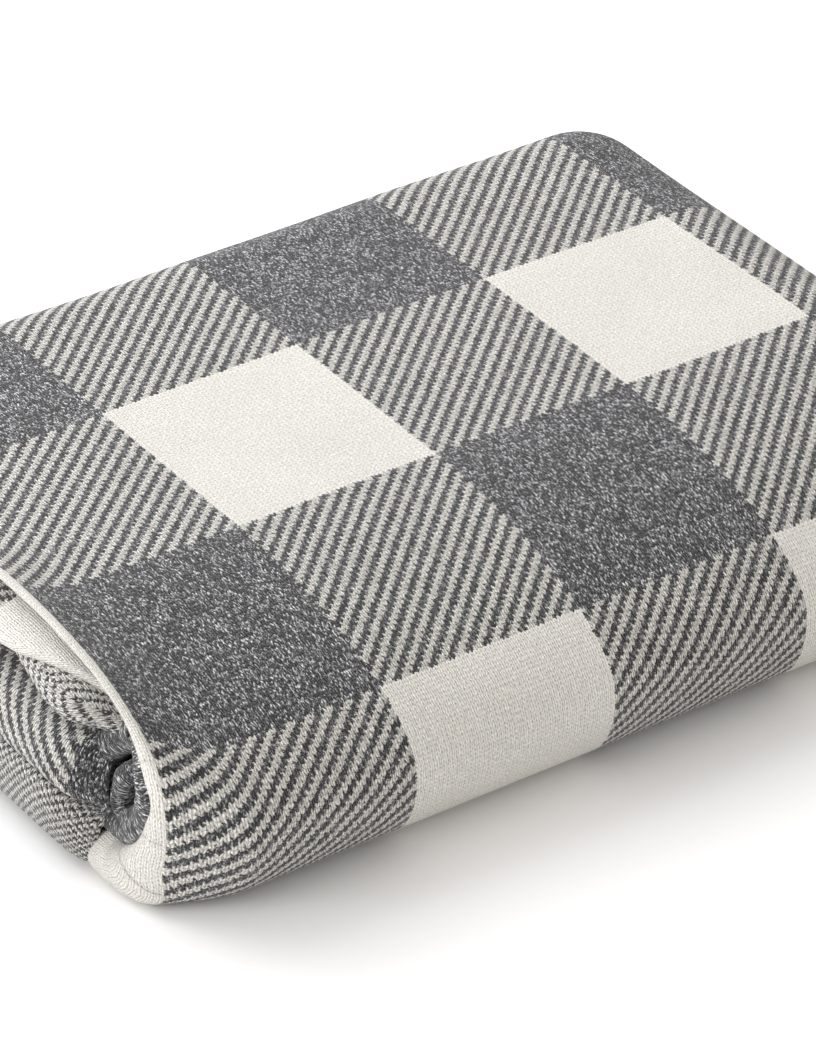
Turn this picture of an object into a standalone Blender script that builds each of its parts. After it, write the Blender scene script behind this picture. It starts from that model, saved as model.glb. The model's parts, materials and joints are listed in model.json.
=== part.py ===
"""Folded camp blanket: one jacquard-knit cloth, folded to a flat bundle.

The cloth runs from the underside round the front in one wide fold and back over the top.
Inside that wrap lie the core leaves. Every ply, fold and turned edge that moves apart from
the others when the bundle is opened is a solid of its own.

Frame: metres, +Z up, X along the front fold, -Y the front, origin under the middle of the bundle.
"""
import math

import bpy
from mathutils import Vector

# ---- driving sizes ---------------------------------------------------------------------------
BUNDLE_LENGTH = 0.3844
BUNDLE_DEPTH = 0.2884
BUNDLE_HEIGHT = 0.0760
PLY = 0.0050
WRAP = 0.0140
GAP = 0.0003

# the wrap's outer line, seen from the end
NOSE_Y = -BUNDLE_DEPTH / 2
NOSE_Z = 0.0345
TOE_Y = NOSE_Y + 0.0280
SHOULDER_Y = -0.0380
SHOULDER_REACH = 0.0405
NOSE_REACH = 0.0270
ROUND = 0.5523
BACK_Y = BUNDLE_DEPTH / 2
BACK_ROUND_Y = 0.0340
BACK_ROUND_Z = 0.0380
BACK_TURN = math.radians(62)
BOTTOM_BACK_Y = 0.1280

# where the cloth has turned this far, it bends as the wrap is opened
FOLD_TURNS = tuple(math.radians(turn) for turn in (22.5, 67.5, 112.5, 157.5))
STRIPS = ("lower", "middle", "upper")

# places along the front fold
LEFT_X = -BUNDLE_LENGTH / 2
RIGHT_X = BUNDLE_LENGTH / 2
SELVEDGE_X = -0.1720
SELVEDGE_WIDTH = 0.0048
LINING_LEFT_X = -0.1800
FRONT_RIGHT_X = 0.1880
SIDE_FOLD_X = 0.1600
SIDE_ROUND_Z = 0.0340

# the core
CORE_FRONT_Y = -0.1040
CORE_BACK_Y = BACK_Y
CORE_MIDDLE_Z = 0.0335
CORE_LEFT_X = -0.1600
CORE_RIGHT_X = 0.1780
CORE_CLEARANCE = 0.0006
CORE_HEEL = 0.0060
CORE_TOP_Z = BUNDLE_HEIGHT - WRAP - CORE_CLEARANCE
ROLL_CENTRE = (-0.1145, 0.0310)
ROLL_HALF = (0.0085, 0.0150)
LEFT_FOLD_TOP_Z = 0.0500
UPPER_BACK_REACH = 0.0195
ROLL_SIDES = 16

# rounded rims, weld distance and the marks on the fold lines
PLY_RIM = 0.0008
LINING_RIM = 0.0020
ROLL_RIM = 0.0030
CORE_RIM = 0.0060
WELD = 0.00001
RIM_STEPS = 2
RIM_ANGLE = math.radians(60)
HINGE_MARK = 0.02
ROUGHNESS = 0.9

CREAM = (0.80, 0.78, 0.74)
GREY = (0.20, 0.20, 0.21)
HEATHER = (0.42, 0.42, 0.42)


# ---- the wrap's outer line -------------------------------------------------------------------
def bezier(p0, p1, p2, p3, t):
    """Point at t on the cubic curve with these four control points."""
    s = 1.0 - t
    return p0 * s**3 + p1 * 3 * s * s * t + p2 * 3 * s * t * t + p3 * t**3


def wrap_point(t):
    """Point (y, z) on the outer line: t 0 at the toe, 1 at the nose, 2 at the shoulder."""
    nose = Vector((NOSE_Y, NOSE_Z))
    if t <= 1.0:
        toe = Vector((TOE_Y, 0.0))
        toe_handle = toe - Vector((ROUND * (TOE_Y - NOSE_Y), 0.0))
        nose_handle = nose - Vector((0.0, ROUND * NOSE_Z))
        return bezier(toe, toe_handle, nose_handle, nose, t)
    shoulder = Vector((SHOULDER_Y, BUNDLE_HEIGHT))
    nose_handle = nose + Vector((0.0, NOSE_REACH))
    shoulder_handle = shoulder - Vector((SHOULDER_REACH, 0.0))
    return bezier(nose, nose_handle, shoulder_handle, shoulder, t - 1.0)


def wrap_tangent(t):
    """Unit direction of the outer line at t, running from the toe to the shoulder."""
    step = 1e-4
    low = max(0.0, t - step)
    high = min(2.0, t + step)
    return (wrap_point(high) - wrap_point(low)).normalized()


def wrap_turn(t):
    """How far the cloth has turned at t, from 0 on the ground to half a turn on top."""
    tangent = wrap_tangent(t)
    return math.atan2(tangent.y, -tangent.x)


def inside(t, depth, along=0.0):
    """Point at a depth inside the outer line at t, shifted along the line."""
    tangent = wrap_tangent(t)
    inward = Vector((tangent.y, -tangent.x))
    return wrap_point(t) + inward * depth + tangent * along


def place_of_turn(turn):
    """The t at which the cloth has turned by this angle, found by halving."""
    low, high = 0.0, 2.0
    for _ in range(40):
        middle = (low + high) / 2
        if wrap_turn(middle) < turn:
            low = middle
        else:
            high = middle
    return (low + high) / 2


FOLD_PLACES = tuple(place_of_turn(turn) for turn in FOLD_TURNS)
FOLD_LINES = tuple(wrap_point(t) for t in FOLD_PLACES)


def wrap_run(t_from, t_to, depth, steps, trim_from=0.0, trim_to=0.0):
    """Points at a depth inside the outer line, trimmed by half a gap at a fold line."""
    points = [inside(t_from, depth, trim_from)]
    for i in range(1, steps):
        points.append(inside(t_from + (t_to - t_from) * i / steps, depth))
    points.append(inside(t_to, depth, -trim_to))
    return points


def arc(centre_y, centre_z, half_y, half_z, start, stop, steps):
    """Points on an ellipse, with angles measured from straight up towards the back."""
    points = []
    for i in range(steps + 1):
        angle = start + (stop - start) * i / steps
        points.append(Vector((centre_y + half_y * math.sin(angle), centre_z + half_z * math.cos(angle))))
    return points


# ---- objects ---------------------------------------------------------------------------------
def clear_scene():
    """Removes every object of the open scene."""
    for old in list(bpy.data.objects):
        bpy.data.objects.remove(old, do_unlink=True)


def make_material(name, colour):
    """A plain cloth finish."""
    material = bpy.data.materials.new(name)
    material.use_nodes = True
    shader = material.node_tree.nodes["Principled BSDF"]
    shader.inputs["Base Color"].default_value = (*colour, 1.0)
    shader.inputs["Roughness"].default_value = ROUGHNESS
    shader.inputs["Metallic"].default_value = 0.0
    return material


def place_in_world(hinge):
    """Where an empty lies, with the empties it hangs from; nothing at all is the origin."""
    place = Vector()
    while hinge:
        place += hinge.location
        hinge = hinge.parent
    return place


def make_solid(name, outline, across, turned, colour, edge, parent, collection):
    """A closed outline drawn out along one direction, with its end rims rounded.

    outline: points in the plane of the outline, in order.
    across: the two ends of the solid along its length.
    turned: Euler angles that bring the outline's plane upright.
    """
    curve = bpy.data.curves.new(name, "CURVE")
    curve.dimensions = "2D"
    curve.fill_mode = "BOTH"
    curve.extrude = (across[1] - across[0]) / 2
    spline = curve.splines.new("POLY")
    spline.points.add(len(outline) - 1)
    for point, place in zip(spline.points, outline):
        point.co = (place[0], place[1], 0.0, 1.0)
    spline.use_cyclic_u = True
    solid = bpy.data.objects.new(name, curve)
    collection.objects.link(solid)
    solid.rotation_euler = turned
    middle = (across[0] + across[1]) / 2
    world = Vector((middle, 0.0, 0.0)) if turned == ALONG_X else Vector((0.0, middle, 0.0))
    solid.location = world - place_in_world(parent)
    solid.parent = parent
    curve.materials.append(make_material(name + "_cloth", colour))
    weld = solid.modifiers.new("Weld", "WELD")
    weld.merge_threshold = WELD
    bevel = solid.modifiers.new("Bevel", "BEVEL")
    bevel.width = edge
    bevel.segments = RIM_STEPS
    bevel.limit_method = "ANGLE"
    bevel.angle_limit = RIM_ANGLE
    return solid


ALONG_X = (math.pi / 2, 0.0, math.pi / 2)
ALONG_Y = (math.pi / 2, 0.0, 0.0)


def make_hinge(name, line, previous, collection):
    """An empty on a fold line, that the cloth beyond it turns about."""
    hinge = bpy.data.objects.new(name, None)
    hinge.empty_display_size = HINGE_MARK
    hinge.location = Vector((0.0, line[0], line[1])) - place_in_world(previous)
    hinge.parent = previous
    collection.objects.link(hinge)
    return hinge


# ---- the cloth on the ground -----------------------------------------------------------------
def bottom_outline():
    """The outer ply under the bundle, up to the first fold line."""
    trim = GAP / 2
    outer = wrap_run(0.0, FOLD_PLACES[0], 0.0, 3, 0.0, trim)
    inner = wrap_run(0.0, FOLD_PLACES[0], PLY, 3, 0.0, trim)
    back = [Vector((BOTTOM_BACK_Y, PLY)), Vector((BOTTOM_BACK_Y, 0.0))]
    return outer + inner[::-1] + back


def lower_leaf_outline():
    """The core's lower leaf, rounded at the front and the back."""
    low = PLY + GAP
    high = CORE_MIDDLE_Z - GAP / 2
    half = (high - low) / 2
    middle = (high + low) / 2
    back = arc(CORE_BACK_Y - half, middle, half, half, 0.0, math.pi, 8)
    front = arc(CORE_FRONT_Y + half, middle, half, half, math.pi, 2 * math.pi, 8)
    return back + front


def upper_leaf_outline():
    """The core's upper leaf, which follows the wrap's inner side down towards the front."""
    low = CORE_MIDDLE_Z + GAP / 2
    back = arc(BACK_Y - BACK_ROUND_Y, low, UPPER_BACK_REACH, CORE_TOP_Z - low, 0.0, math.pi / 2, 7)
    front = [Vector((CORE_FRONT_Y, low)), Vector((CORE_FRONT_Y, low + CORE_HEEL))]
    slope = wrap_run(1.55, 2.0, WRAP + CORE_CLEARANCE, 6)
    return front + slope + back


def roll_outline():
    """The turned-in end of the core, a small roll behind the front fold."""
    turn = 2 * math.pi * (ROLL_SIDES - 1) / ROLL_SIDES
    return arc(*ROLL_CENTRE, *ROLL_HALF, 0.0, turn, ROLL_SIDES - 1)


def left_fold_outline():
    """The core's closed end on the left, half round (x, z)."""
    low = PLY + GAP
    half = (LEFT_FOLD_TOP_Z - low) / 2
    reach = CORE_LEFT_X - GAP - LEFT_X
    return arc(CORE_LEFT_X - GAP, low + half, reach, half, math.pi, 2 * math.pi, 12)


# ---- the cloth that opens --------------------------------------------------------------------
def strip_outline(index, top, bottom):
    """One strip of the front fold between two fold lines, between two depths."""
    trim = GAP / 2
    start, stop = FOLD_PLACES[index], FOLD_PLACES[index + 1]
    outer = wrap_run(start, stop, top, 6, trim, trim)
    inner = wrap_run(start, stop, bottom, 4, trim, trim)
    return outer + inner[::-1]


def top_outline(top, bottom, turn):
    """The wrap over the top, from the last fold line to its free edge at the back."""
    start = FOLD_PLACES[-1]
    centre = (BACK_Y - BACK_ROUND_Y, BUNDLE_HEIGHT - BACK_ROUND_Z)
    outer = wrap_run(start, 2.0, top, 7, GAP / 2)
    outer += arc(*centre, BACK_ROUND_Y - top, BACK_ROUND_Z - top, 0.0, turn, 6)
    inner = wrap_run(start, 2.0, bottom, 7, GAP / 2)
    inner += arc(*centre, BACK_ROUND_Y - bottom, BACK_ROUND_Z - bottom, 0.0, turn, 6)
    return outer + inner[::-1]


def side_fold_outline():
    """The outer ply where it turns down over the right end (x, z)."""
    reach = RIGHT_X - SIDE_FOLD_X
    base = BUNDLE_HEIGHT - SIDE_ROUND_Z
    outer = arc(SIDE_FOLD_X, base, reach, SIDE_ROUND_Z, 0.0, math.pi / 2, 8)
    inner = arc(SIDE_FOLD_X, base, reach - PLY, SIDE_ROUND_Z - PLY, 0.0, math.pi / 2, 8)
    return outer + inner[::-1]


def build():
    """Makes the whole bundle."""
    clear_scene()
    blanket = bpy.data.collections.new("camp_blanket")
    bpy.context.scene.collection.children.link(blanket)
    selvedge = (SELVEDGE_X - SELVEDGE_WIDTH, SELVEDGE_X - GAP)
    lining_depths = (PLY + GAP, WRAP)

    def along_x(name, outline, across, colour, edge, parent=None):
        return make_solid(name, outline, across, ALONG_X, colour, edge, parent, blanket)

    def along_y(name, outline, across, colour, edge, parent=None):
        return make_solid(name, outline, across, ALONG_Y, colour, edge, parent, blanket)

    along_x("bottom_ply", bottom_outline(), (SELVEDGE_X, SIDE_FOLD_X), HEATHER, PLY_RIM)
    along_x("bottom_selvedge", bottom_outline(), selvedge, CREAM, PLY_RIM)
    core_length = (CORE_LEFT_X, CORE_RIGHT_X)
    along_x("core_lower_leaf", lower_leaf_outline(), core_length, CREAM, CORE_RIM)
    along_x("core_upper_leaf", upper_leaf_outline(), core_length, HEATHER, CORE_RIM)
    along_y("core_left_fold", left_fold_outline(), (CORE_FRONT_Y, BOTTOM_BACK_Y), HEATHER, CORE_RIM)
    roll_length = (LINING_LEFT_X, CORE_RIGHT_X)
    along_x("core_front_roll", roll_outline(), roll_length, GREY, ROLL_RIM)

    parent = None
    for index, strip in enumerate(STRIPS):
        parent = make_hinge("fold_line_" + strip, FOLD_LINES[index], parent, blanket)
        ply = strip_outline(index, 0.0, PLY)
        lining = strip_outline(index, *lining_depths)
        ply_length = (SELVEDGE_X, FRONT_RIGHT_X)
        lining_length = (LINING_LEFT_X, FRONT_RIGHT_X - PLY)
        along_x("front_ply_" + strip, ply, ply_length, HEATHER, PLY_RIM, parent)
        along_x("front_selvedge_" + strip, ply, selvedge, CREAM, PLY_RIM, parent)
        along_x("front_lining_" + strip, lining, lining_length, CREAM, LINING_RIM, parent)

    parent = make_hinge("fold_line_top", FOLD_LINES[-1], parent, blanket)
    top = top_outline(0.0, PLY, BACK_TURN)
    top_lining = top_outline(*lining_depths, BACK_TURN * 0.8)
    side_top = (FOLD_LINES[-1][0] + WRAP, BACK_Y - BACK_ROUND_Y)
    ends_at_side = SIDE_FOLD_X - GAP
    along_x("top_ply", top, (SELVEDGE_X, ends_at_side), HEATHER, PLY_RIM, parent)
    along_x("top_selvedge", top, selvedge, CREAM, PLY_RIM, parent)
    along_x("top_lining", top_lining, (LINING_LEFT_X, ends_at_side), CREAM, LINING_RIM, parent)
    along_y("top_side_fold", side_fold_outline(), side_top, HEATHER, PLY_RIM, parent)


build()
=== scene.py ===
"""Folded camp blanket: the looks of the knitted cloth, its edges, its folds and a plain studio.

The cloth is one jacquard knit in a large check of cream, heather grey and diagonal pin stripes.
Every ply carries flat cloth coordinates in metres, across the stitch columns and along them,
and the finishes count stitches on those, so the pattern runs on round every fold.
"""

import json
import logging
import math
from dataclasses import dataclass, field
from enum import Enum
from typing import Sequence

import bpy
import numpy as np
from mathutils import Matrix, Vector


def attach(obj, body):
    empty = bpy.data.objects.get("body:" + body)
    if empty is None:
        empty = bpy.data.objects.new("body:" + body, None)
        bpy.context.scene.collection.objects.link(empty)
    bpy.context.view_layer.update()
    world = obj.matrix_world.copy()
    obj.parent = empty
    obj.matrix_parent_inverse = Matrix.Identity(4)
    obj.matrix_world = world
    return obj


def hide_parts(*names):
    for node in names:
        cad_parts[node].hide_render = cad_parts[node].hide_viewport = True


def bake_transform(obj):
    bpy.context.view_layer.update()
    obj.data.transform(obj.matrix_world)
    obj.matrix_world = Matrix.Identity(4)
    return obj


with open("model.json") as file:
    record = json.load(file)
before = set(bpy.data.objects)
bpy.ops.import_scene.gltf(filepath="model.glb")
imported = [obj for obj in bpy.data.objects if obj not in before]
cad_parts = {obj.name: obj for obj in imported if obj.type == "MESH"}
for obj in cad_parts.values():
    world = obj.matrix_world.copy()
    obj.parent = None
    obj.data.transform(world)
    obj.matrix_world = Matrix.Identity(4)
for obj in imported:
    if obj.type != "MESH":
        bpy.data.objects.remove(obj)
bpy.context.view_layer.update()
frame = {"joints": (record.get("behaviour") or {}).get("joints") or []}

LOG = logging.getLogger("camp_blanket")
FLAT = "Knit"
CORE_BODY = "base"

Grid = np.ndarray
Socket = bpy.types.NodeSocket
Piece = bpy.types.Object
Finish = bpy.types.Material
Place = tuple[float, float]
Value = Socket | float
Choice = tuple[Value, Value, Value]


class Pattern(Enum):
    """What the two yarns draw: every how many stitches it repeats, and how many of them are cream."""

    CHECKS = (4, 2)
    BIRDSEYE = (2, 1)
    PALE = (3, 2)
    HEATHER = (1, 0)
    PLAIN = (1, 1)


class Slot(Enum):
    """The record's material slots."""

    CHECK = "check_knit"
    INNER = "inner_knit"
    EDGE = "selvedge_yarn"


# ---- colour and node helpers -----------------------------------------------------------------
def linear(code: str) -> tuple[float, float, float, float]:
    """Turns an sRGB hex colour into linear RGBA.

    Args:
        code: Six hex digits.

    Returns:
        The linear colour with alpha 1.
    """
    parts = []
    for start in (0, 2, 4):
        value = int(code[start : start + 2], 16) / 255
        parts.append(value / 12.92 if value <= 0.04045 else ((value + 0.055) / 1.055) ** 2.4)
    return (parts[0], parts[1], parts[2], 1.0)


@dataclass
class Nodes:
    """A node tree with short ways to add to it."""

    tree: bpy.types.NodeTree

    def add(self, kind: str, inputs: dict | None = None, **settings: object) -> bpy.types.Node:
        """Adds a node.

        Args:
            kind: The node's type name.
            inputs: Socket name or number to a value, or to an output socket to link.
            **settings: Properties of the node.

        Returns:
            The new node.
        """
        node = self.tree.nodes.new(kind)
        for name, value in settings.items():
            setattr(node, name, value)
        for key, value in (inputs or {}).items():
            if isinstance(value, bpy.types.NodeSocket):
                self.tree.links.new(value, node.inputs[key])
            else:
                node.inputs[key].default_value = value
        return node

    def math(self, operation: str, a: Value, b: Value = 0.0, c: Value = 0.0) -> Socket:
        """Adds a math node.

        Args:
            operation: The node's operation.
            a: First value or socket.
            b: Second value or socket.
            c: Third value or socket.

        Returns:
            The result's socket.
        """
        node = self.add("ShaderNodeMath", {0: a, 1: b, 2: c}, operation=operation)
        return node.outputs[0]

    def mix(self, share: Value, a: Socket | tuple, b: Socket | tuple, blend: str = "MIX") -> Socket:
        """Mixes two colours.

        Args:
            share: How much of b.
            a: First colour.
            b: Second colour.
            blend: The way of mixing.

        Returns:
            The mixed colour's socket.
        """
        node = self.add("ShaderNodeMix", {0: share}, data_type="RGBA", blend_type=blend)
        for socket, value in ((node.inputs[6], a), (node.inputs[7], b)):
            if isinstance(value, bpy.types.NodeSocket):
                self.tree.links.new(value, socket)
            else:
                socket.default_value = value
        return node.outputs[2]

    def noise(self, flat: Socket, scale: float, detail: float, **more: float) -> bpy.types.Node:
        """Adds a noise over the flat cloth.

        Args:
            flat: Flat cloth coordinates.
            scale: Its cells in a metre.
            detail: How many finer layers it has.
            **more: Its other inputs.

        Returns:
            The noise's node.
        """
        inputs = {"Vector": flat, "Scale": scale, "Detail": detail, **more}
        return self.add("ShaderNodeTexNoise", inputs, noise_dimensions="2D")

    def two_drifts(self, flat: Socket, scale: float, reach: float) -> tuple[Socket, Socket]:
        """Adds two drifts that wander either way from 0.

        Args:
            flat: Flat cloth coordinates.
            scale: Their cells in a metre.
            reach: How far they wander, in stitches.

        Returns:
            The drift across and the drift along.
        """
        parts = self.add("ShaderNodeSeparateColor", {0: self.noise(flat, scale, 1.0).outputs["Color"]})
        across, along = (self.math("MULTIPLY_ADD", parts.outputs[k], 2 * reach, -reach) for k in (0, 1))
        return across, along

    def darken(self, colour: Socket, shade: Socket) -> Socket:
        """Multiplies a colour by a shade.

        Args:
            colour: The colour.
            shade: What is left of it, 0 to 1.

        Returns:
            The darker colour's socket.
        """
        grey = self.add("ShaderNodeCombineColor", {0: shade, 1: shade, 2: shade}).outputs[0]
        return self.mix(1.0, colour, grey, "MULTIPLY")


def new_material(name: str) -> tuple[Finish, Nodes, bpy.types.Node]:
    """Makes an empty Principled material.

    Args:
        name: The material's name.

    Returns:
        The material, its nodes and its Principled node.
    """
    material = bpy.data.materials.new(name)
    material.use_nodes = True
    nodes = Nodes(material.node_tree)
    return material, nodes, material.node_tree.nodes["Principled BSDF"]


# ---- finishes --------------------------------------------------------------------------------
@dataclass(frozen=True)
class Gauge:
    """The knit's gauge and the size of its checks."""

    wale: float = 0.0018
    course: float = 0.001675
    wales_per_check: int = 45
    courses_per_check: int = 52
    first_column_x: float = -0.0886

    @property
    def check_width(self) -> float:
        """Width of a check across the stitch columns."""
        return self.wale * self.wales_per_check

    @property
    def check_length(self) -> float:
        """Length of a check along the stitch columns."""
        return self.course * self.courses_per_check

    def place(self, check: tuple[int, int], across: float = 0.5, along: float = 0.5) -> tuple[float, float]:
        """Flat cloth coordinates of a place inside a check.

        Args:
            check: The check's column and row.
            across: Share of its width.
            along: Share of its length.

        Returns:
            The place across and along the stitch columns, in metres.
        """
        column, row = check
        u = self.first_column_x + (column + across) * self.check_width
        return u, (row - 1 + along) * self.check_length


@dataclass(frozen=True)
class JacquardKnit:
    """Cotton jacquard jersey: V stitches, two yarns, and heather flecks in the grey one."""

    name: str
    pattern: Pattern = Pattern.CHECKS
    gauge: Gauge = field(default_factory=Gauge)
    cream: str = "fdfbf6"
    cream_warm: str = "f2ede2"
    grey_dark: str = "0c0c0e"
    grey_middle: str = "424246"
    grey_light: str = "f0f0f2"
    stripe_dark: str = "1d1d20"
    stray_grey: str = "5c5c60"
    strays: float = 0.42
    v_depth: float = 0.62
    relief: float = 0.00070
    fray: float = 0.55
    fray_scale: float = 1300.0
    wobble: float = 0.25
    wobble_scale: float = 260.0
    grain_scale: float = 1900.0
    grain_stretch: float = 0.38
    grain_roughness: float = 0.72
    grain_range: Place = (0.33, 0.67)
    grain_relief: float = 0.30
    grain_shade: float = 0.30
    grain_floor: float = 0.86
    fleck_chance: float = 0.50
    fleck_grain: float = 0.80
    fleck_start: float = -0.16
    stripe_darkening: float = 0.55
    heather_steps: tuple[float, float, float] = (0.18, 0.58, 0.95)
    fade_scale: float = 22.0
    fading: float = 0.12
    stitch_shade: float = 0.22
    mixed_shade: float = 0.38
    pinhole_shade: float = 0.60
    pinhole_power: float = 3.0
    leg_roundness: Place = (0.55, 0.6)
    leg_dip: float = 0.62
    relief_strength: float = 0.9
    sheen: float = 0.25
    sheen_roughness: float = 0.6
    roughness: float = 0.95
    gloss: float = 0.15

    def build(self) -> Finish:
        """Makes the material.

        Returns:
            The knit's material.
        """
        material, n, shader = new_material(self.name)
        flat = n.add("ShaderNodeAttribute", attribute_name=FLAT).outputs["Vector"]
        split = n.add("ShaderNodeSeparateXYZ", {0: flat})
        first = self.gauge.first_column_x / self.gauge.wale
        u = n.math("MULTIPLY_ADD", split.outputs[0], 1 / self.gauge.wale, -first)
        v = n.math("DIVIDE", split.outputs[1], self.gauge.course)
        wobble_u, wobble_v = n.two_drifts(flat, self.wobble_scale, self.wobble)
        u = n.math("ADD", u, wobble_u)
        v = n.math("ADD", v, wobble_v)
        centred = n.math("SUBTRACT", n.math("FRACT", u), 0.5)
        side = n.math("MULTIPLY", n.math("ABSOLUTE", centred), 2.0)
        rows = n.math("MULTIPLY_ADD", side, self.v_depth, v)
        within = n.math("FRACT", rows)
        loose_u, loose_v = n.two_drifts(flat, self.fray_scale, self.fray)
        frayed_wale = n.math("FLOOR", n.math("ADD", u, loose_u))
        frayed_course = n.math("FLOOR", n.math("ADD", rows, loose_v))
        choice = self.yarn_choice(n, frayed_wale, frayed_course)
        height = self.stitch_height(n, side, within)
        grain = self.grain(n, flat)
        corner = {0: n.math("FLOOR", u), 1: n.math("FLOOR", rows), 2: n.math("SIGN", centred)}
        leg = n.add("ShaderNodeCombineXYZ", corner).outputs[0]
        chance = n.add("ShaderNodeTexWhiteNoise", {"Vector": leg}, noise_dimensions="3D").outputs["Value"]
        streaked = n.math("MULTIPLY_ADD", grain, self.fleck_grain, self.fleck_start)
        colour = self.colour(n, flat, choice, n.math("MULTIPLY_ADD", chance, self.fleck_chance, streaked))
        shaded = n.darken(colour, self.shade(n, (side, within), height, choice[2], grain))
        relief = n.math("MULTIPLY_ADD", grain, self.grain_relief, height)
        raised = {"Height": relief, "Distance": self.relief, "Strength": self.relief_strength}
        bump = n.add("ShaderNodeBump", raised)
        n.tree.links.new(shaded, shader.inputs["Base Color"])
        n.tree.links.new(bump.outputs[0], shader.inputs["Normal"])
        shader.inputs["Roughness"].default_value = self.roughness
        shader.inputs["Sheen Weight"].default_value = self.sheen
        shader.inputs["Sheen Roughness"].default_value = self.sheen_roughness
        shader.inputs["Specular IOR Level"].default_value = self.gloss
        return material

    def shade(
        self, n: Nodes, leg: tuple[Socket, Socket], height: Socket, in_cream: Value, grain: Socket
    ) -> Socket:
        """Shades the hollows round each stitch and the pinholes between the legs.

        Args:
            n: The nodes.
            leg: Distance from the middle of the stitch column and place along the leg, 0 to 1.
            height: Height of the stitch.
            in_cream: 1 inside the cream checks.
            grain: Streaks of fibres.

        Returns:
            The shade's socket, 1 in full light.
        """
        side, within = leg
        from_middle = n.math("ABSOLUTE", n.math("MULTIPLY_ADD", within, 2.0, -1.0))
        ends = n.math("POWER", from_middle, self.pinhole_power)
        pinhole = n.math("MULTIPLY", n.math("POWER", side, self.pinhole_power), ends)
        mixed = n.math("SUBTRACT", 1.0, in_cream)
        depth = n.math("MULTIPLY_ADD", mixed, self.mixed_shade, self.stitch_shade)
        shade = n.math("SUBTRACT", 1.0, n.math("MULTIPLY", depth, n.math("SUBTRACT", 1.0, height)))
        shade = n.math("MULTIPLY", shade, n.math("MULTIPLY_ADD", pinhole, -self.pinhole_shade, 1.0))
        return n.math("MULTIPLY", shade, n.math("MULTIPLY_ADD", grain, self.grain_shade, self.grain_floor))

    def grain(self, n: Nodes, flat: Socket) -> Socket:
        """Streaks of fibres along the stitch columns.

        A cotton fibre is about 0.02 mm thick, too fine to show, so the streaks are drawn about
        0.5 mm wide and 1.4 mm long.

        Args:
            n: The nodes.
            flat: Flat cloth coordinates.

        Returns:
            The streaks' socket, from 0 to 1.
        """
        stretch = {0: flat, 1: (1.0, self.grain_stretch, 1.0)}
        drawn = n.add("ShaderNodeVectorMath", stretch, operation="MULTIPLY").outputs[0]
        streaks = n.noise(drawn, self.grain_scale, 3.0, Roughness=self.grain_roughness)
        low, high = self.grain_range
        return n.add("ShaderNodeMapRange", {0: streaks.outputs["Fac"], 1: low, 2: high}).outputs[0]

    def yarn_choice(self, n: Nodes, wale: Socket, course: Socket) -> Choice:
        """Says which yarn shows in each stitch.

        Args:
            n: The nodes.
            wale: The stitch's column number.
            course: The stitch's row number.

        Returns:
            1 where the cream yarn shows, 1 inside the grey checks, and 1 inside the cream ones.
        """
        if self.pattern is Pattern.PLAIN:
            return 1.0, 0.0, 1.0
        if self.pattern is Pattern.HEATHER:
            return 0.0, 1.0, 0.0
        column = n.math("FLOOR", n.math("DIVIDE", wale, self.gauge.wales_per_check))
        whole_rows = n.math("FLOOR", n.math("DIVIDE", course, self.gauge.courses_per_check))
        row = n.math("ADD", whole_rows, 1.0)
        odd_column = n.math("FLOORED_MODULO", column, 2.0)
        odd_row = n.math("FLOORED_MODULO", row, 2.0)
        grey_check = n.math("MULTIPLY", odd_column, n.math("SUBTRACT", 1.0, odd_row))
        cream_check = n.math("MULTIPLY", n.math("SUBTRACT", 1.0, odd_column), odd_row)
        period, creams = self.pattern.value
        step = n.math("FLOORED_MODULO", n.math("ADD", wale, course), float(period))
        striped = n.math("LESS_THAN", step, creams - 0.5)
        stripes = n.math("MULTIPLY", n.math("SUBTRACT", 1.0, grey_check), striped)
        return n.math("MAXIMUM", cream_check, stripes), grey_check, cream_check

    def stitch_height(self, n: Nodes, side: Socket, within: Socket) -> Socket:
        """Height of the two slanted legs of a stitch, from 0 to 1.

        Args:
            n: The nodes.
            side: Distance from the middle of the stitch column, 0 to 1.
            within: Place along the leg, 0 to 1.

        Returns:
            The height's socket.
        """
        round_across, round_along = self.leg_roundness
        across = n.math("POWER", n.math("SINE", n.math("MULTIPLY", side, math.pi)), round_across)
        along = n.math("POWER", n.math("SINE", n.math("MULTIPLY", within, math.pi)), round_along)
        return n.math("MULTIPLY", across, n.math("MULTIPLY_ADD", along, self.leg_dip, 1 - self.leg_dip))

    def colour(self, n: Nodes, flat: Socket, choice: Choice, fleck: Socket) -> Socket:
        """Colours each stitch.

        Args:
            n: The nodes.
            flat: Flat cloth coordinates.
            choice: What yarn_choice says of each stitch.
            fleck: Light and dark fibres, from 0 to 1.

        Returns:
            The colour's socket.
        """
        cream_here, grey_check, cream_check = choice
        heather = n.add("ShaderNodeValToRGB", {"Fac": fleck})
        dark, middle, light = self.heather_steps
        ramp = heather.color_ramp
        ramp.elements[0].position = dark
        ramp.elements[0].color = linear(self.grey_dark)
        ramp.elements[1].position = light
        ramp.elements[1].color = linear(self.grey_light)
        ramp.elements.new(middle).color = linear(self.grey_middle)
        darkening = n.math("MULTIPLY_ADD", grey_check, -self.stripe_darkening, self.stripe_darkening)
        grey = n.mix(darkening, heather.outputs[0], linear(self.stripe_dark))
        cream = n.mix(fleck, linear(self.cream_warm), linear(self.cream))
        stray = n.math("MULTIPLY_ADD", fleck, -self.strays, self.strays)
        stray = n.math("MULTIPLY", n.math("SUBTRACT", 1.0, cream_check), stray)
        cream = n.mix(stray, cream, linear(self.stray_grey))
        faded = n.noise(flat, self.fade_scale, 3.0).outputs["Fac"]
        worn = n.math("MULTIPLY_ADD", faded, self.fading, 1 - self.fading / 2)
        return n.darken(n.mix(cream_here, grey, cream), worn)


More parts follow.
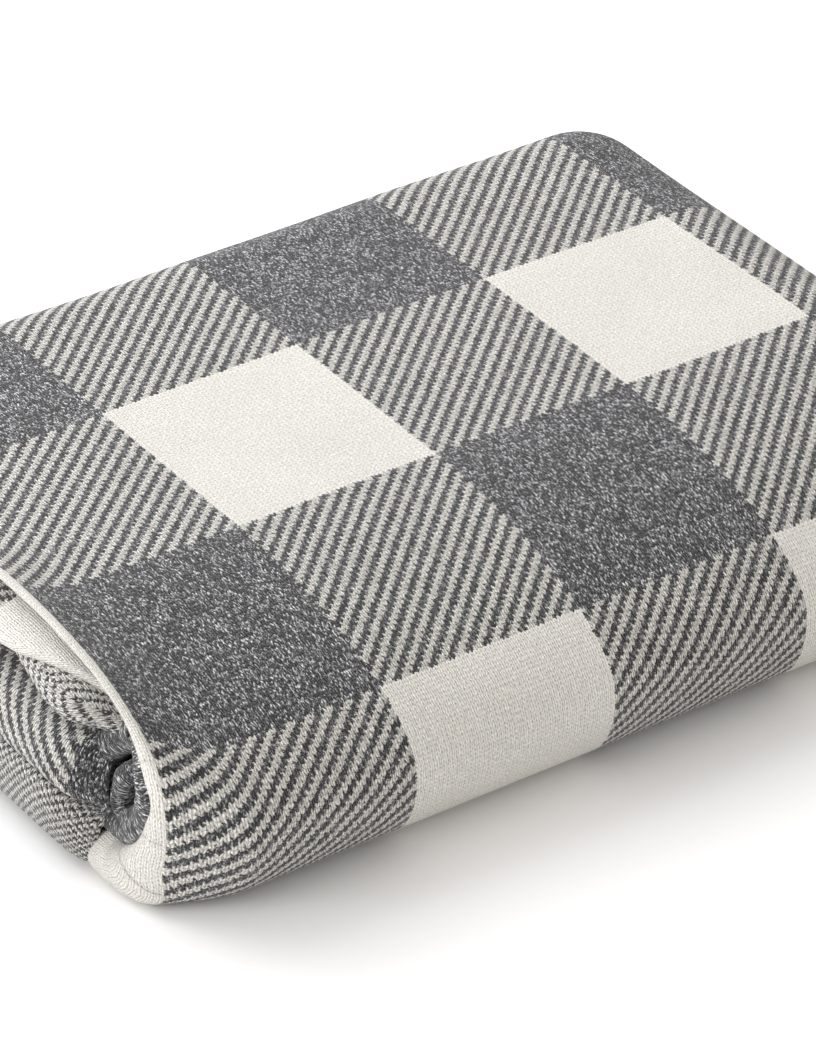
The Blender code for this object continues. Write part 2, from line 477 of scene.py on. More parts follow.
@dataclass(frozen=True)
class LooseFibre:
    """The pale fibre ends that stand off the cotton."""

    name: str
    colour: str = "efeeec"

    def build(self) -> Finish:
        """Makes the material.

        Returns:
            The fibres' material.
        """
        material, _, shader = new_material(self.name)
        shader.inputs["Base Color"].default_value = linear(self.colour)
        shader.inputs["Roughness"].default_value = 1.0
        shader.inputs["Alpha"].default_value = 0.55
        shader.inputs["Specular IOR Level"].default_value = 0.1
        return material


@dataclass(frozen=True)
class Plain:
    """A plain matt finish for what stands round the blanket."""

    name: str
    colour: str
    roughness: float = 0.9

    def build(self) -> Finish:
        """Makes the material.

        Returns:
            The plain material.
        """
        material, _, shader = new_material(self.name)
        shader.inputs["Base Color"].default_value = linear(self.colour)
        shader.inputs["Roughness"].default_value = self.roughness
        shader.inputs["Specular IOR Level"].default_value = 0.1
        return material


@dataclass
class Finishes:
    """Every finish of the blanket, made once."""

    face: Finish = field(init=False)
    back: Finish = field(init=False)
    edge: Finish = field(init=False)
    pale: Finish = field(init=False)
    heather: Finish = field(init=False)
    fibre: Finish = field(init=False)

    def __post_init__(self) -> None:
        """Makes the finishes."""
        self.face = JacquardKnit("knit_face").build()
        self.back = JacquardKnit("knit_back", Pattern.BIRDSEYE).build()
        self.edge = JacquardKnit("knit_edge", Pattern.PLAIN, fray=0.2).build()
        self.pale = JacquardKnit("knit_pale", Pattern.PALE).build()
        self.heather = JacquardKnit("knit_heather", Pattern.HEATHER).build()
        self.fibre = LooseFibre("loose_fibre").build()


# ---- cloth meshes ----------------------------------------------------------------------------
@dataclass
class Rims:
    """How far each edge of a ply rounds out; nothing is a plain cut that meets the next piece."""

    left: float | Grid = 0.0
    right: float = 0.0
    start: float = 0.0
    end: float = 0.0
    steps: int = 5

    def pushes(self, outer: Grid, ring: tuple[Grid, Grid]) -> tuple[Grid, Grid]:
        """Says how far each place on a ply's border is pushed out.

        Args:
            outer: Points of the face side, columns by rows by 3.
            ring: Columns and rows of the border's places, in order round it.

        Returns:
            The push of each place in space, and in flat cloth coordinates.
        """
        columns, rows = outer.shape[:2]
        away_u = unit(np.stack([outer[0] - outer[1], outer[-1] - outer[-2]]))
        away_v = unit(np.stack([outer[:, 0] - outer[:, 1], outer[:, -1] - outer[:, -2]]))
        left = np.broadcast_to(self.left, rows)
        push = np.zeros((len(ring[0]), 3))
        push_flat = np.zeros((len(ring[0]), 2))
        for k, (i, j) in enumerate(zip(*ring)):
            if i == 0:
                push[k] += away_u[0, j] * left[j]
                push_flat[k, 0] -= left[j]
            if i == columns - 1:
                push[k] += away_u[1, j] * self.right
                push_flat[k, 0] += self.right
            if j == 0:
                push[k] += away_v[0, i] * self.start
                push_flat[k, 1] -= self.start
            if j == rows - 1:
                push[k] += away_v[1, i] * self.end
                push_flat[k, 1] += self.end
        return push, push_flat


def unit(vectors: Grid) -> Grid:
    """Scales vectors to length 1.

    Args:
        vectors: The vectors, along the last axis.

    Returns:
        The unit vectors.
    """
    return vectors / np.maximum(np.linalg.norm(vectors, axis=-1, keepdims=True), 1e-12)


def border(columns: int, rows: int) -> tuple[Grid, Grid]:
    """Lists the places round the border of a grid.

    Args:
        columns: The grid's columns.
        rows: Its rows.

    Returns:
        Their columns and their rows, in order.
    """
    ring = [(i, 0) for i in range(columns)]
    ring += [(columns - 1, j) for j in range(1, rows)]
    ring += [(i, rows - 1) for i in range(columns - 2, -1, -1)]
    ring += [(0, j) for j in range(rows - 2, 0, -1)]
    return np.array([place[0] for place in ring]), np.array([place[1] for place in ring])


def ply_mesh(
    name: str, outer: Grid, inner: Grid, flat: Grid, rims: Rims, materials: Sequence[Finish]
) -> Piece:
    """Makes one closed ply of cloth from its two faces.

    Args:
        name: The piece's name.
        outer: Points of the face side, columns by rows by 3.
        inner: Points of the back side, in the same order.
        flat: Flat cloth coordinates of those points, columns by rows by 2.
        rims: How far the four edges round out.
        materials: The face's finish, then the back's.

    Returns:
        The ply, with its flat cloth coordinates as a map.
    """
    columns, rows = outer.shape[:2]
    count = columns * rows
    index = np.arange(count).reshape(columns, rows)
    ring = border(columns, rows)
    around = len(ring[0])
    push, push_flat = rims.pushes(outer, ring)
    top, bottom = outer[ring], inner[ring]
    flat_ring = flat[ring]
    points = [outer.reshape(-1, 3), inner.reshape(-1, 3)]
    rings = [index[ring]]
    ring_flats = [flat_ring]
    for k in range(1, rims.steps + 1):
        turn = math.pi * k / (rims.steps + 1)
        share = (1 - math.cos(turn)) / 2
        points.append(top * (1 - share) + bottom * share + push * math.sin(turn))
        rings.append(2 * count + (k - 1) * around + np.arange(around))
        ring_flats.append(flat_ring + push_flat * turn)
    rings.append(count + index[ring])
    ring_flats.append(flat_ring + push_flat * math.pi)
    a, b = index[:-1, :-1].ravel(), index[1:, :-1].ravel()
    c, d = index[1:, 1:].ravel(), index[:-1, 1:].ravel()
    front = np.stack([a, b, c, d], 1)
    back = np.stack([a, d, c, b], 1)
    plain = flat.reshape(-1, 2)
    faces = [front, back + count]
    corners = [plain[front], plain[back]]
    slots = [np.zeros(len(a), int), np.ones(len(a), int)]
    for k in range(len(rings) - 1):
        this, following = rings[k], rings[k + 1]
        faces.append(np.stack([np.roll(this, -1), this, following, np.roll(following, -1)], 1))
        f0, f1 = ring_flats[k], ring_flats[k + 1]
        corners.append(np.stack([np.roll(f0, -1, 0), f0, f1, np.roll(f1, -1, 0)], 1))
        slots.append(np.full(len(this), 0 if k < (len(rings) - 1) / 2 else 1))
    parts = (np.concatenate(part) for part in (points, faces, corners, slots))
    piece = mesh_piece(name, *parts, materials)
    edges = (
        (index[0], np.max(rims.left)),
        (index[-1], rims.right),
        (index[:, 0], rims.start),
        (index[:, -1], rims.end),
    )
    sharpen(piece.data, [line + side for line, rim in edges if rim == 0.0 for side in (0, count)])
    return piece


def sharpen(mesh: bpy.types.Mesh, lines: Sequence[Grid]) -> None:
    """Keeps the shading of a ply's faces apart from that of its plain cuts.

    Args:
        mesh: The ply's mesh.
        lines: Runs of vertex numbers along the rims of the cuts.
    """
    ends = np.zeros(len(mesh.edges) * 2, np.int32)
    mesh.edges.foreach_get("vertices", ends)
    ends = ends.reshape(-1, 2)
    sharp = np.zeros(len(ends), bool)
    for line in lines:
        on_line = np.zeros(len(mesh.vertices), bool)
        on_line[line] = True
        sharp |= on_line[ends].all(1)
    mesh.edges.foreach_set("use_edge_sharp", sharp)


def mesh_piece(
    name: str, points: Grid, faces: Grid, corners: Grid, slots: Grid, materials: Sequence[Finish]
) -> Piece:
    """Makes a smooth piece from arrays, with its faces outward.

    Args:
        name: The piece's name.
        points: Vertices.
        faces: Four vertex numbers a face.
        corners: Flat cloth coordinates of each corner of each face.
        slots: The material number of each face.
        materials: The finishes.

    Returns:
        The piece.
    """
    p = points[faces]
    normal = np.cross(p[:, 2] - p[:, 0], p[:, 3] - p[:, 1])
    volume = np.einsum("ij,ij->i", p.mean(1) - points.mean(0), normal).sum()
    if volume < 0:
        faces, corners = faces[:, ::-1], corners[:, ::-1]
    mesh = bpy.data.meshes.new(name)
    mesh.from_pydata(points.tolist(), [], faces.tolist())
    layer = mesh.uv_layers.new(name=FLAT)
    layer.data.foreach_set("uv", np.ascontiguousarray(corners, dtype=np.float32).ravel())
    for material in materials:
        mesh.materials.append(material)
    chosen = np.minimum(slots, len(materials) - 1).astype(np.int32)
    mesh.polygons.foreach_set("material_index", chosen)
    mesh.polygons.foreach_set("use_smooth", np.ones(len(faces), bool))
    mesh.update()
    return show(name, mesh)


def show(name: str, mesh: bpy.types.Mesh) -> Piece:
    """Puts a mesh in the scene as a piece and reports it.

    Args:
        name: The piece's name.
        mesh: Its mesh.

    Returns:
        The piece.
    """
    piece = bpy.data.objects.new(name, mesh)
    bpy.context.scene.collection.objects.link(piece)
    LOG.info("%s: %d faces", name, len(mesh.polygons))
    return piece


def smooth_step(share: Grid) -> Grid:
    """Eases a share from 0 to 1, and holds it outside.

    Args:
        share: The share, which may lie outside 0 to 1.

    Returns:
        The eased share.
    """
    held = np.clip(share, 0, 1)
    return held * held * (3 - 2 * held)


def smooth_run(stations: Grid, steps: int) -> Grid:
    """Runs a smooth curve through rows of numbers.

    Args:
        stations: Control rows, in order.
        steps: Rows wanted between each two.

    Returns:
        The rows along the curve, through every control row.
    """
    padded = np.concatenate([stations[:1], stations, stations[-1:]])
    rows = []
    for k in range(len(stations) - 1):
        p0, p1, p2, p3 = padded[k : k + 4]
        for t in np.linspace(0, 1, steps, endpoint=False):
            slope = (p2 - p0) * t
            bow = (2 * p0 - 5 * p1 + 4 * p2 - p3) * t**2
            twist = (3 * p1 - p0 - 3 * p2 + p3) * t**3
            rows.append(0.5 * (2 * p1 + slope + bow + twist))
    rows.append(stations[-1])
    return np.array(rows)


def lengths_along(points: Grid) -> Grid:
    """Measures along a line of points.

    Args:
        points: The points, in order.

    Returns:
        The length from the first point to each.
    """
    return np.concatenate([[0], np.cumsum(np.linalg.norm(np.diff(points, axis=0), axis=1))])


def loft(
    name: str,
    sections: Grid,
    thickness: float,
    at: Place,
    rims: Rims,
    materials: Sequence[Finish],
    steps: int = 6,
) -> Piece:
    """Makes a folded ply by drawing cloth smoothly through sections.

    Its flat size is its mean run across and along, measured on the finished shape.

    Args:
        name: The piece's name.
        sections: Control points, sections by points by 3, with the face on the left going along.
        thickness: Thickness of the ply, laid inward.
        at: Flat cloth coordinates of its middle.
        rims: How far its edges round out.
        materials: The face's finish, then the back's.
        steps: Rows between two control points.

    Returns:
        The ply.
    """
    grid = smooth_run(sections, steps)
    grid = smooth_run(grid.transpose(1, 0, 2), steps)
    normal = unit(np.cross(np.gradient(grid, axis=0), np.gradient(grid, axis=1)))
    inner = grid - normal * thickness
    step_u = np.linalg.norm(np.diff(grid, axis=0), axis=2).mean(1)
    step_v = np.linalg.norm(np.diff(grid, axis=1), axis=2).mean(0)
    u = np.concatenate([[0], np.cumsum(step_u)])
    v = np.concatenate([[0], np.cumsum(step_v)])
    flat = np.stack(np.meshgrid(u - u[-1] / 2 + at[0], v - v[-1] / 2 + at[1], indexing="ij"), -1)
    piece = ply_mesh(name, grid, inner, flat, rims, materials)
    return piece


# ---- the wrap --------------------------------------------------------------------------------
@dataclass
class WrapLine:
    """The wrap's outer line seen from the end, from its back edge over the top to underneath."""

    depth: float = 0.2884
    height: float = 0.0760
    nose_z: float = 0.0345
    toe_set_back: float = 0.0280
    shoulder_y: float = -0.0380
    shoulder_reach: float = 0.0405
    nose_reach: float = 0.0270
    round_share: float = 0.5523
    back_round: Place = (0.0340, 0.0380)
    back_turn: float = math.radians(62)
    bottom_back_y: float = 0.1280
    row_line_y: float = 0.0482
    spine: tuple[float, float, float] = (-0.1080, 0.1120, 0.0360)
    round_points: int = 60
    straight_points: int = 120
    curve_points: int = 160
    smoothings: int = 6

    def __post_init__(self) -> None:
        """Draws the line finely and measures along it."""
        nose = np.array([-self.depth / 2, self.nose_z])
        toe = np.array([nose[0] + self.toe_set_back, 0.0])
        shoulder = np.array([self.shoulder_y, self.height])
        centre = np.array([self.depth / 2 - self.back_round[0], self.height - self.back_round[1]])
        turn = np.linspace(self.back_turn, 0, self.round_points)[:, None]
        arc = [np.sin(turn) * self.back_round[0], np.cos(turn) * self.back_round[1]]
        back = centre + np.concatenate(arc, 1)
        top = np.linspace(back[-1], shoulder, self.straight_points)[1:]
        front = self.curve(shoulder, (-self.shoulder_reach, 0.0), nose, (0.0, self.nose_reach))[1:]
        drop, run = self.round_share * self.nose_z, self.round_share * self.toe_set_back
        low = self.curve(nose, (0.0, -drop), toe, (-run, 0.0))[1:]
        bottom = np.linspace(toe, (self.bottom_back_y, 0.0), self.straight_points)[1:]
        self.points = np.concatenate([back, top, front, low, bottom])
        gone = lengths_along(self.points)
        over = len(back) + len(top)
        row_line = np.interp(-self.row_line_y, -self.points[:over, 0], gone[:over])
        self.along = gone - row_line
        tangent = unit(np.gradient(self.points, self.along, axis=0))
        for _ in range(self.smoothings):
            tangent[1:-1] = (tangent[:-2] + 2 * tangent[1:-1] + tangent[2:]) / 4
        self.tangent = unit(tangent)

    def curve(self, start: Grid, leave: Place, end: Grid, arrive: Place) -> Grid:
        """Draws a cubic curve between two points.

        Args:
            start: First point.
            leave: From it to its handle.
            end: Last point.
            arrive: From it to its handle.

        Returns:
            Points along the curve.
        """
        t = np.linspace(0, 1, self.curve_points)[:, None]
        s = 1 - t
        return start * s**3 + 3 * (start + leave) * s * s * t + 3 * (end + arrive) * s * t * t + end * t**3

    def at(self, v: Grid) -> tuple[Grid, Grid]:
        """Points and inward directions at places along the cloth.

        Args:
            v: Lengths along the cloth.

        Returns:
            The (y, z) points and the unit directions inward.
        """
        inside = np.clip(v, self.along[0], self.along[-1])
        point = np.stack([np.interp(inside, self.along, self.points[:, k]) for k in (0, 1)], -1)
        tangent = unit(np.stack([np.interp(inside, self.along, self.tangent[:, k]) for k in (0, 1)], -1))
        return point, np.stack([-tangent[..., 1], tangent[..., 0]], -1)

    def length_at(self, point: Sequence[float]) -> float:
        """Finds the length along the cloth of the place nearest a point.

        Args:
            point: The point, as (y, z).

        Returns:
            The length along the cloth.
        """
        return float(self.along[np.linalg.norm(self.points - np.array(point), axis=1).argmin()])


@dataclass
class WrapShape:
    """How the wrap's cloth lies in space."""

    line: WrapLine = field(default_factory=WrapLine)
    right_from: float = 0.1600
    right_round: float = 0.0315
    right_turn: float = 1.45
    right_share: float = 0.92
    spine_clearance: float = 0.002
    left_corner_from: float = -0.1500
    left_edge: float = -0.1766
    corner_limit: float = 1.3
    corner_power: float = 1.5
    corner_pull: float = 0.0232
    corner_lift: float = 0.0088
    pull_from_y: float = -0.080
    pull_over_y: float = 0.050
    shoulder_from_z: float = 0.036
    shoulder_over_z: float = 0.030
    shoulder_easing: float = 0.55
    toe_over_z: float = 0.020
    toe_pull: float = 0.40
    lift_from_y: float = 0.020
    lift_over_y: float = 0.050
    lift_from_z: float = 0.035
    lift_over_z: float = 0.025
    crowd_from: float = -0.0886
    crowding: float = 0.052
    ripple: float = 0.0011
    ripple_over_z: float = 0.03

    def place(self, u: Grid, v: Grid, depth: float | Grid) -> Grid:
        """Points of the cloth.

        Args:
            u: Places across, in metres of cloth.
            v: Places along, in metres of cloth.
            depth: Depth below the wrap's outer side, or one for each place with a last axis of 1.

        Returns:
            The points, in the shape of u and v, by 3.
        """
        point, inward = self.line.at(v)
        low, high, middle = self.line.spine
        spine = np.stack([np.clip(point[..., 0], low, high), np.full(point.shape[:-1], middle)], -1)
        to_spine = unit(spine - point)
        turn = np.clip((u - self.right_from) / self.right_round, 0, self.right_turn)[..., None]
        heading = unit(inward * (1 - np.sin(turn)) + to_spine * np.sin(turn))
        room = np.linalg.norm(spine - point, axis=-1, keepdims=True) - self.spine_clearance
        reach = np.minimum(room, self.right_round * self.right_share)
        flat_x = np.minimum(u, self.right_from)[..., None]
        yz = point + to_spine * reach * (1 - np.cos(turn)) + heading * depth * np.cos(turn)
        x = flat_x + (self.right_round - depth) * np.sin(turn)
        off_floor = np.clip(point[..., 1] / self.ripple_over_z, 0, 1)
        lift = self.ripple * self.waves(u, v) * off_floor
        yz = yz - inward * lift[..., None] * np.cos(turn)
        y, z = self.corner(u, yz[..., 0], yz[..., 1])
        return np.stack([x[..., 0], y, z], -1)

    def corner(self, u: Grid, y: Grid, z: Grid) -> tuple[Grid, Grid]:
        """Pulls the left front corner back and lifts it off the core.

        Args:
            u: Places across, in metres of cloth.
            y: Where they lie from front to back.
            z: How high they lie.

        Returns:
            Where they lie once pulled, and how high.
        """
        outward = (self.left_corner_from - u) / (self.left_corner_from - self.left_edge)
        pull = np.clip(outward, 0, self.corner_limit) ** self.corner_power
        front = smooth_step((self.pull_from_y - y) / self.pull_over_y)
        shoulder = smooth_step((z - self.shoulder_from_z) / self.shoulder_over_z)
        front = front * (1 - self.shoulder_easing * shoulder)
        front = front * (self.toe_pull + (1 - self.toe_pull) * smooth_step(z / self.toe_over_z))
        raised = smooth_step((self.lift_from_y - y) / self.lift_over_y)
        raised = raised * smooth_step((z - self.lift_from_z) / self.lift_over_z)
        return y + self.corner_pull * pull * front, z + self.corner_lift * pull * raised

    def knitted(self, u: Grid, v: Grid) -> Grid:
        """Flat cloth coordinates of places; the stitches crowd together towards the finished edge.

        Args:
            u: Places across.
            v: Places along.

        Returns:
            The flat coordinates, in the shape of u and v, by 2.
        """
        crowded = u + self.crowding * np.maximum(self.crowd_from - u, 0)
        return np.stack([crowded, v], -1)

    @staticmethod
    def waves(u: Grid, v: Grid) -> Grid:
        """Slow waves in the lie of the cloth: three crossing ones, about 190, 136 and 69 mm long.

        Args:
            u: Places across.
            v: Places along.

        Returns:
            Their height, from 0 to 1.
        """
        slow = np.sin(u * 31 + v * 12 + 0.4) + np.sin(v * 43 - u * 17 + 1.9) + 0.6 * np.sin(u * 71 + v * 57)
        return 0.5 + slow / 5.4


@dataclass(frozen=True)
class Lining:
    """One of the two plies under the outer one, with the lip that shows at the left end.

    The lip's sizes are given at the wrap's lip places, from the back to the front.
    """

    name: str
    depths: Place
    set_back: float
    check: tuple[int, int]
    pattern_from: Place
    lip: tuple[float, ...]
    droop_degrees: tuple[float, ...]
    swell: tuple[float, ...]
    nodes: tuple[str, ...] = ()

    @property
    def thick(self) -> float:
        """The ply's thickness."""
        return self.depths[1] - self.depths[0]


FIRST_LINING = Lining(
    "first",
    depths=(0.0052, 0.0094),
    set_back=0.004,
    check=(0, 3),
    pattern_from=(-0.030, 0.076),
    lip=(0.0210, 0.0210, 0.0180, 0.0105, 0.0050, 0.0010, 0.0005),
    droop_degrees=(44.0, 46.0, 34.0, 8.0, 0.0, 0.0, 0.0),
    swell=(0.0, 0.0, 0.0, 0.0, 0.0, 0.0, 0.0),
    nodes=("top_lining", "front_lining_upper", "front_lining_middle", "front_lining_lower"),
)
SECOND_LINING = Lining(
    "second",
    depths=(0.0099, 0.0140),
    set_back=0.009,
    check=(1, 3),
    pattern_from=(-0.028, 0.076),
    lip=(0.0100, 0.0120, 0.0150, 0.0170, 0.0160, 0.0085, 0.0005),
    droop_degrees=(22.0, 26.0, 26.0, 22.0, 14.0, 6.0, 0.0),
    swell=(0.0, 0.0004, 0.0014, 0.0026, 0.0028, 0.0012, 0.0),
)


@dataclass
class Wrap:
    """The cloth that opens: the outer ply, its finished edge and the two plies under it."""

    finishes: Finishes
    gauge: Gauge = field(default_factory=Gauge)
    shape: WrapShape = field(default_factory=WrapShape)
    ply: float = 0.0046
    step: float = 0.0024
    least_rows: int = 6
    bend_reach: float = 0.0055
    fine_points: int = 200
    smoothings: int = 30
    right_length: float = 0.0440
    selvedge_from: float = -0.1738
    edge_gap: float = 0.0001
    edge_least: float = 0.0006
    edge_columns: int = 4
    edge_round_steps: int = 9
    edge_places: tuple[Place, ...] = (
        (-0.090, 0.073),
        (-0.143, 0.045),
        (-0.142, 0.024),
        (-0.132, 0.007),
        (-0.116, 0.0),
        (-0.102, 0.0),
        (-0.090, 0.0),
        (-0.078, 0.0),
    )
    edge_fat: tuple[float, ...] = (0.0038, 0.0052, 0.0100, 0.0165, 0.0190, 0.0190, 0.0165, 0.0046)
    edge_reach: tuple[float, ...] = (-0.1766, -0.1768, -0.1785, -0.1812, -0.1830, -0.1835, -0.1825, -0.1770)
    lining_left: float = -0.1655
    lining_right: float = 0.020
    lining_across: float = 0.62
    lip_places: tuple[Place, ...] = (
        (0.040, 0.076),
        (-0.030, 0.076),
        (-0.050, 0.076),
        (-0.070, 0.075),
        (-0.084, 0.073),
        (-0.096, 0.070),
        (-0.112, 0.065),
    )
    lip_columns: int = 10
    swell_rise: float = 1.4
    names: tuple[str, ...] = ("top", "front_upper", "front_lower", "bottom")
    hinge_order: tuple[str, ...] = (
        "top_leaf_opens",
        "fold_line_upper",
        "fold_line_middle",
        "fold_line_lower",
    )
    ply_nodes: tuple[tuple[str, ...], ...] = (
        ("top_ply", "top_side_fold"),
        ("front_ply_upper",),
        ("front_ply_middle",),
        ("bottom_ply", "front_ply_lower"),
    )
    edge_nodes: tuple[tuple[str, ...], ...] = (
        ("top_selvedge",),
        ("front_selvedge_upper",),
        ("front_selvedge_middle",),
        ("bottom_selvedge", "front_selvedge_lower"),
    )

    def __post_init__(self) -> None:
        """Finds where the cloth is cut into pieces, and the places where it bends."""
        self.edges: list[Piece] = []
        self.joints = {joint["name"]: joint for joint in frame["joints"]}
        line = self.shape.line
        self.bends = [line.length_at(self.joints[name]["pos_m"][1:]) for name in self.hinge_order]
        middles = [(before + after) / 2 for before, after in zip(self.bends, self.bends[1:])]
        self.cuts = [line.along[0], *middles, line.along[-1]]

    def build(self) -> list[Piece]:
        """Builds every piece of the wrap.

        Returns:
            The outer plies, for what grows on them.
        """
        plies = []
        for k, name in enumerate(self.names):
            edge = self.selvedge(k, name)
            self.edges.append(edge)
            plies.append(self.outer_ply(k, name, edge))
            self.lining_ply(k, name, FIRST_LINING, self.finishes.face)
            self.lining_ply(k, name, SECOND_LINING, self.finishes.pale)
        return plies

    def ends(self, k: int, size: float) -> tuple[float, float]:
        """Gives a size to the wrap's own two ends, and 0 to the cuts between its pieces.

        Args:
            k: The piece's number from the back of the top.
            size: The size.

        Returns:
            The size at the piece's first end and at its last.
        """
        return (size if k == 0 else 0.0), (size if k == len(self.names) - 1 else 0.0)

    def along_wrap(self, v: Grid, places: Sequence[Place], values: Sequence[float]) -> Grid:
        """Carries a size smoothly along the wrap.

        Args:
            v: Places along.
            places: The (y, z) places on the wrap's outer line where the size is known.
            values: The size at each of them.

        Returns:
            The size at each place.
        """
        lengths = np.array([self.shape.line.length_at(place) for place in places])
        fine = np.linspace(lengths[0], lengths[-1], self.fine_points)
        sizes = np.interp(fine, lengths, values)
        for _ in range(self.smoothings):
            sizes[1:-1] = (sizes[:-2] + 2 * sizes[1:-1] + sizes[2:]) / 4
        return np.interp(v, fine, sizes)

    def places(self, k: int, sides: Place, inset: Place, columns: int = 0) -> tuple[Grid, Grid]:
        """Flat places of one piece.

        Args:
            k: The piece's number from the back of the top.
            sides: Its left and right ends across.
            inset: How far it stays back from its first cut and from its last.
            columns: How many columns of faces, or 0 for an even step.

        Returns:
            Places across and along.
        """
        left, right = sides
        start, end = self.cuts[k] + inset[0], self.cuts[k + 1] - inset[1]
        columns = columns or round((right - left) / self.step)
        across = np.linspace(left, right, columns + 1)
        along = np.linspace(start, end, max(self.least_rows, round((end - start) / self.step)) + 1)
        return np.meshgrid(across, along, indexing="ij")

    def bend(self, piece: Piece, k: int) -> None:
        """Finds the place of a piece's fold line and bakes the piece's placement into its mesh.

        Args:
            piece: The piece, final.
            k: Its number from the back of the top.
        """
        line = self.shape.line
        place = int(np.abs(line.along - self.bends[k]).argmin())
        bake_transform(piece)

    def outer_ply(self, k: int, name: str, selvedge: Piece) -> Piece:
        """Builds one piece of the outer ply, which turns down over the right end.

        Args:
            k: Its number from the back of the top.
            name: What it is called.
            selvedge: The finished edge that is knitted onto it; not used.

        Returns:
            The piece.
        """
        rim = self.ply / 2
        start, end = self.ends(k, rim)
        u, v = self.places(k, (self.selvedge_from, self.shape.right_from + self.right_length), (start, end))
        outer = self.shape.place(u, v, 0.0)
        inner = self.shape.place(u, v, self.ply)
        rims = Rims(left=0.0, right=rim, start=start, end=end)
        faces = (self.finishes.face, self.finishes.back)
        piece = ply_mesh("outer_ply_" + name, outer, inner, self.shape.knitted(u, v), rims, faces)
        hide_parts(*self.ply_nodes[k])
        self.finish_piece(piece, k)
        return piece

    def selvedge(self, k: int, name: str) -> Piece:
        """Builds one piece of the finished cream edge.

        Args:
            k: Its number from the back of the top.
            name: What it is called.

        Returns:
            The piece.
        """
        start, end = self.ends(k, self.ply / 2)
        share, v = self.places(k, (0.0, 1.0), (start, end), self.edge_columns)
        fat = self.along_wrap(v, self.edge_places, self.edge_fat)
        reach = self.along_wrap(v, self.edge_places, self.edge_reach)
        right = self.selvedge_from - self.edge_gap
        left = np.minimum(reach + fat / 2, right - self.edge_least)
        u = left + (right - left) * share
        outer = self.shape.place(u, v, 0.0)
        inner = self.shape.place(u, v, fat[..., None])
        rims = Rims(left=fat[0] / 2, right=0.0, start=start, end=end, steps=self.edge_round_steps)
        flat = np.stack([u, v], -1)
        piece = ply_mesh("selvedge_" + name, outer, inner, flat, rims, (self.finishes.edge,))
        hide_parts(*self.edge_nodes[k])
        self.finish_piece(piece, k)
        return piece

    def lining_ply(self, k: int, name: str, lining: Lining, finish: Finish) -> Piece:
        """Builds one piece of a ply under the outer one.

        Args:
            k: Its number from the back of the top.
            name: What it is called.
            lining: Which of the two plies.
            finish: The finish of its face.

        Returns:
            The piece.
        """
        rim = lining.thick / 2
        inset = self.ends(k, lining.set_back + rim)
        u, v = self.places(k, (self.lining_left, self.shape.right_from + self.lining_right), inset)
        outer = self.shape.place(u, v, lining.depths[0])
        inner = self.shape.place(u, v, lining.depths[1])
        length = self.along_wrap(v[0], self.lip_places, lining.lip)
        swell = self.along_wrap(v[0], self.lip_places, lining.swell)
        gone = np.linspace(1, 0, self.lip_columns + 1)[:-1, None]
        lip_outer, lip_inner = self.lip(lining, (outer[0], inner[0]), v[0], gone)
        outer = np.concatenate([lip_outer, outer])
        inner = np.concatenate([lip_inner, inner])
        lip_u = self.lining_left - gone * length
        u = np.concatenate([lip_u, u])
        v = np.concatenate([np.broadcast_to(v[0], lip_u.shape), v])
        pattern_v = self.shape.line.length_at(lining.pattern_from)
        origin = self.gauge.place(lining.check, self.lining_across, 0.0)
        flat = np.stack([origin[0] - (u - self.lining_left), v - pattern_v + origin[1]], -1)
        start, end = self.ends(k, rim)
        rims = Rims(left=rim + swell, right=rim, start=start, end=end)
        faces = (finish, self.finishes.back)
        piece = ply_mesh(f"{lining.name}_lining_{name}", outer, inner, flat, rims, faces)
        if lining.nodes:
            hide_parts(lining.nodes[k])
        self.finish_piece(piece, k)
        return piece

    def lip(self, lining: Lining, edge: tuple[Grid, Grid], v: Grid, gone: Grid) -> tuple[Grid, Grid]:
        """Carries a lining past its left edge in a lip that droops and swells.

        Args:
            lining: Which of the two plies.
            edge: The points of its left edge, on its face and on its back.
            v: Places along.
            gone: How far out each column of the lip lies, 1 at its end, with a last axis of 1.

        Returns:
            The lip's points on the face and on the back.
        """
        length = self.along_wrap(v, self.lip_places, lining.lip)
        droop = np.radians(self.along_wrap(v, self.lip_places, lining.droop_degrees))
        swell = self.along_wrap(v, self.lip_places, lining.swell)
        angle = droop * np.linspace(0, 1, self.lip_columns + 1)[:, None]
        legs = np.stack([np.cos(angle), np.sin(angle)])
        run = np.cumsum((legs[:, 1:] + legs[:, :-1]) / 2, axis=1)
        moved = run[:, ::-1] * length / self.lip_columns
        turned = angle[:0:-1]
        across = edge[0] - edge[1]
        puffed = across * (swell / lining.thick)[:, None] * smooth_step(gone * self.swell_rise)[..., None]
        outer = edge[0] - np.stack([moved[0], np.zeros_like(moved[0]), moved[1]], -1)
        inner = outer - across * np.cos(turned)[..., None]
        inner[..., 0] += lining.thick * np.sin(turned)
        return outer + puffed, inner - puffed

    def finish_piece(self, piece: Piece, k: int) -> None:
        """Bakes a piece's placement into its mesh, through bend.

        Args:
            piece: The piece.
            k: Its number from the back of the top.
        """
        self.bend(piece, k)


# ---- the core --------------------------------------------------------------------------------
@dataclass(frozen=True)
class ClosedFold:
    """A rounded closed fold at the left end, from its sections as (x, z)."""

    name: str
    tip: tuple[Place, ...]
    near: tuple[Place, ...]
    full: tuple[Place, ...]
    near_front: float
    knit_at: Place
    node: str | None = None
    back_ends: Place = (0.1370, 0.1310)
    full_at: tuple[float, ...] = (0.1180, 0.0600, 0.0000, -0.0450, -0.0700)
    tip_front: float = -0.0925

    def sections(self) -> Grid:
        """Places the sections from the back to the front.

        Returns:
            Their points, sections by points by 3.
        """
        stations = [(self.tip, self.back_ends[0]), (self.near, self.back_ends[1])]
        stations += [(self.full, y) for y in self.full_at]
        stations += [(self.near, self.near_front), (self.tip, self.tip_front)]
        return np.array([[(x, y, z) for x, z in section] for section, y in stations])


